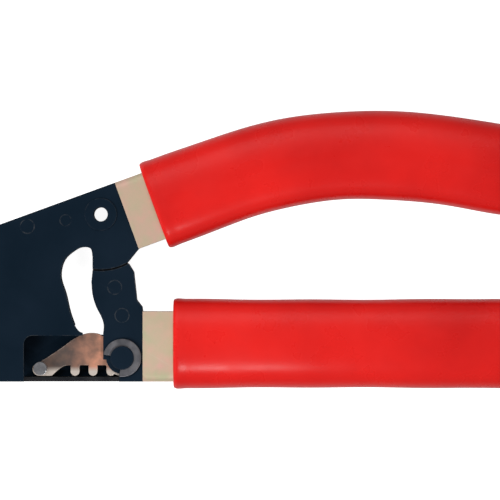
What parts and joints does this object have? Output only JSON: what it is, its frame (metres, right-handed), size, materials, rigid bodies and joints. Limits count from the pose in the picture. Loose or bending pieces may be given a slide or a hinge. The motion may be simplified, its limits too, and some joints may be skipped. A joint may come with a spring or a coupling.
{
  "type": "wire-straining fencing pliers",
  "caption": "Fencing pliers with a long plated head, a lever on a hollow pivot that carries a toothed wire-gripping cam, and two channel handles in dipped grips.",
  "frame": {"origin": "centre of the hollow pivot, half way between the head plates", "axes": "+X towards the handles, +Y towards the upper handle, +Z out of the front head plate; the pliers lie flat on their back"},
  "size_m": [0.3049, 0.1016, 0.021],
  "materials": {
    "black_steel": "semi-matt black, blue-tinted",
    "dark_steel": "blackened steel",
    "zinc_yellow": "yellow zinc plate, satin",
    "red_pvc": "dipped PVC, satin",
    "bright_steel": "bright",
    "bronze": "plain bearing bronze",
    "copper_cam": "copper-flashed steel, teeth worn bright"
  },
  "bodies": {
    "frame": {"front_cheek": "black_steel", "rear_cheek": "black_steel", "nose_block": "dark_steel", "spine_spacer": "black_steel", "wire_guide": "dark_steel", "head_rivets": "black_steel", "pivot_tube": "black_steel", "stop_pin": "black_steel", "spring_anchor_pin": "black_steel", "upper_spacer": "dark_steel", "upper_handle": "zinc_yellow", "upper_handle_rivets": "zinc_yellow", "upper_grip": "red_pvc", "return_spring": "bright_steel"},
    "lever": {"lever_core": "dark_steel", "front_lever_plate": "black_steel", "rear_lever_plate": "black_steel", "pivot_bush": "bronze", "thrust_washers": "bronze", "lever_rivets": "black_steel", "wire_rest": "dark_steel", "lower_handle": "zinc_yellow", "lower_handle_rivets": "zinc_yellow", "lower_grip": "red_pvc", "cam_pin": "black_steel", "retaining_ring": "dark_steel", "cam_spring": "bright_steel"},
    "cam": {"gripping_cam": "copper_cam", "release_stud": "bright_steel"}
  },
  "joints": [
    {"name": "lever_hinge", "type": "hinge", "parent": "frame", "child": "lever", "pos_m": [0, 0, 0], "axis": [0, 0, 1], "range_deg": [0, 9], "stiffness_Nm_per_rad": 1, "springref_deg": -17.19, "deforming": ["return_spring"]},
    {"name": "cam_hinge", "type": "hinge", "parent": "lever", "child": "cam", "pos_m": [0.0077, -0.0511, 0], "axis": [0, 0, 1], "range_deg": [-15, 0], "stiffness_Nm_per_rad": 0.03, "springref_deg": 22.92, "deforming": ["cam_spring"]}
  ]
}
